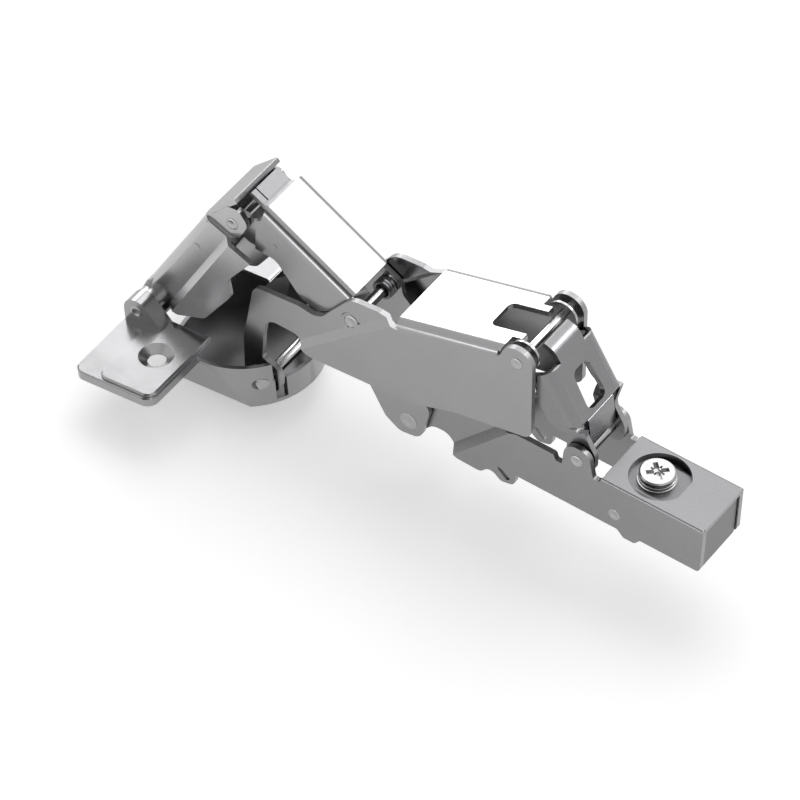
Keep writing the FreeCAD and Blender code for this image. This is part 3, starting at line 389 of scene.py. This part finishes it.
# Springs
# Two coils of drawn wire: the closing spring on the cross pin and the small one that holds the latch shut.
wire_metal = metal("drawn spring wire", (0.24, 0.24, 0.25), 0.28)
for node, body in (("closing_spring", "middle_link"), ("latch_spring", "base")):
    sheet_piece(node, body, wire_metal, edge=0.03, angle=50.0)

# Floor
# A plain pale sheet under the cup and the arm. Where no shadow falls on it, the eye sees it as white.
floor_height, floor_reach = -0.03155, 3.0
lift_in_view = 0.38


def stage_sheet(name, material, reach, placing):
    mesh = bpy.data.meshes.new(name)
    form = bmesh.new()
    bmesh.ops.create_grid(form, x_segments=1, y_segments=1, size=reach)
    bmesh.ops.transform(form, verts=form.verts, matrix=placing)
    form.to_mesh(mesh)
    form.free()
    mesh.materials.append(material)
    sheet = bpy.data.objects.new(name, mesh)
    bpy.context.collection.objects.link(sheet)
    return sheet


# One where the camera or a mirror-like metal looks at the surface, and zero for the light that it gives off.
def in_view(tree):
    path = tree.nodes.new("ShaderNodeLightPath")
    either = tree.nodes.new("ShaderNodeMath")
    either.operation = "MAXIMUM"
    tree.links.new(path.outputs["Is Camera Ray"], either.inputs[0])
    tree.links.new(path.outputs["Is Glossy Ray"], either.inputs[1])
    return either.outputs[0]


paper = bpy.data.materials.new("white paper")
paper.use_nodes = True
paper_shader = paper.node_tree.nodes["Principled BSDF"]
paper_shader.inputs["Base Color"].default_value = (0.92, 0.92, 0.92, 1)
paper_shader.inputs["Roughness"].default_value = 0.9
paper_shader.inputs["Emission Color"].default_value = (1, 1, 1, 1)
paper_lift = paper.node_tree.nodes.new("ShaderNodeMath")
paper_lift.operation = "MULTIPLY"
paper_lift.inputs[1].default_value = lift_in_view
paper.node_tree.links.new(in_view(paper.node_tree), paper_lift.inputs[0])
paper.node_tree.links.new(paper_lift.outputs[0], paper_shader.inputs["Emission Strength"])
stage_sheet("floor", paper, floor_reach, Matrix.Translation((0, 0, floor_height)))


# Light
# A wide soft lamp above lights the metal and the floor. Two smaller ones behind, left and right, and a long
# strip in front light the metal alone, in a plain white room.
def soft_lamp(name, direction, aim, size, power):
    lamp_distance = 1.1
    data = bpy.data.lights.new(name, "AREA")
    data.shape = "RECTANGLE"
    data.size, data.size_y = size
    data.energy = power
    lamp = bpy.data.objects.new(name, data)
    bpy.context.collection.objects.link(lamp)
    lamp.location = Vector(aim) + Vector(direction).normalized() * lamp_distance
    lamp.rotation_euler = (Vector(aim) - lamp.location).to_track_quat("-Z", "Y").to_euler()
    return lamp


soft_lamp("overhead lamp", (-0.2, 0.4, 0.9), (-0.06, 0, 0), (0.8, 0.8), 3.4)
for name, direction, aim, size, power in (
        ("back left lamp", (-0.73, 0.57, 0.37), (-0.05, 0, 0.01), (0.36, 0.36), 2.6),
        ("back right lamp", (0.45, 0.59, 0.67), (-0.09, 0, 0.01), (0.36, 0.36), 2.6),
        ("front strip lamp", (-0.25, -0.96, 0.05), (-0.07, 0, 0.0), (0.9, 0.24), 2.4)):
    soft_lamp(name, direction, aim, size, power).light_linking.receiver_collection = hinge_pieces

# The dark side of the studio, behind the camera, which shows as dark lines in the bends of bright metal.
card_aim = Vector((-0.06, 0, 0))
card_reach, card_width_ratio, card_distance = 0.5, 2.2, 1.7
card_place = card_aim + Vector((0.05, -0.72, 0.62)).normalized() * card_distance
card_turn = (card_aim - card_place).to_track_quat("Z", "Y").to_matrix().to_4x4()
dark_cloth = bpy.data.materials.new("dark cloth")
dark_cloth.use_nodes = True
dark_shader = dark_cloth.node_tree.nodes["Principled BSDF"]
dark_shader.inputs["Base Color"].default_value = (0.25, 0.25, 0.25, 1)
dark_shader.inputs["Roughness"].default_value = 0.95
card = stage_sheet("dark_side", dark_cloth, card_reach,
                   Matrix.Translation(card_place) @ card_turn @ Matrix.Diagonal((card_width_ratio, 1, 1, 1)))
card.visible_camera = False

world = bpy.data.worlds.new("white room")
bpy.context.scene.world = world
world.use_nodes = True
room = world.node_tree
background = room.nodes["Background"]
background.inputs["Color"].default_value = (1, 1, 1, 1)
level = room.nodes.new("ShaderNodeMapRange")
level.inputs["To Min"].default_value = 0.60
level.inputs["To Max"].default_value = 1.0
room.links.new(in_view(room), level.inputs["Value"])
room.links.new(level.outputs["Result"], background.inputs["Strength"])

# Camera
# A long lens from above and in front of the near side, turned so that the arm runs down to the right.
azimuth, elevation, roll = math.radians(29.75), math.radians(47.10), math.radians(-4.87)
focal_pixels, picture_pixels, sensor_mm = 6091.0, 800.0, 36.0
pivot_right_pixels, pivot_down_pixels = 197.04, 38.94
distance = 1.339
pivot = Vector((-0.0245, 0.0, 0.00395))
look = Vector((-math.sin(azimuth) * math.cos(elevation), math.cos(azimuth) * math.cos(elevation),
               -math.sin(elevation)))
level_right = Vector((math.cos(azimuth), math.sin(azimuth), 0.0))
level_up = level_right.cross(look)
right = level_right * math.cos(roll) - level_up * math.sin(roll)
up = level_right * math.sin(roll) + level_up * math.cos(roll)
towards = (look - right * (pivot_right_pixels / focal_pixels) + up * (pivot_down_pixels / focal_pixels)).normalized()
right = (right - towards * right.dot(towards)).normalized()
up = right.cross(towards)
camera_data = bpy.data.cameras.new("camera")
camera_data.sensor_width = sensor_mm
camera_data.lens = focal_pixels / picture_pixels * sensor_mm
camera_data.clip_start = 0.05
camera = bpy.data.objects.new("camera", camera_data)
bpy.context.collection.objects.link(camera)
place = pivot - look * distance
turn = Matrix((right, up, -towards)).transposed().to_4x4()
camera.matrix_world = Matrix.Translation(place) @ turn
bpy.context.scene.camera = camera
bpy.context.scene.view_settings.view_transform = "Standard"
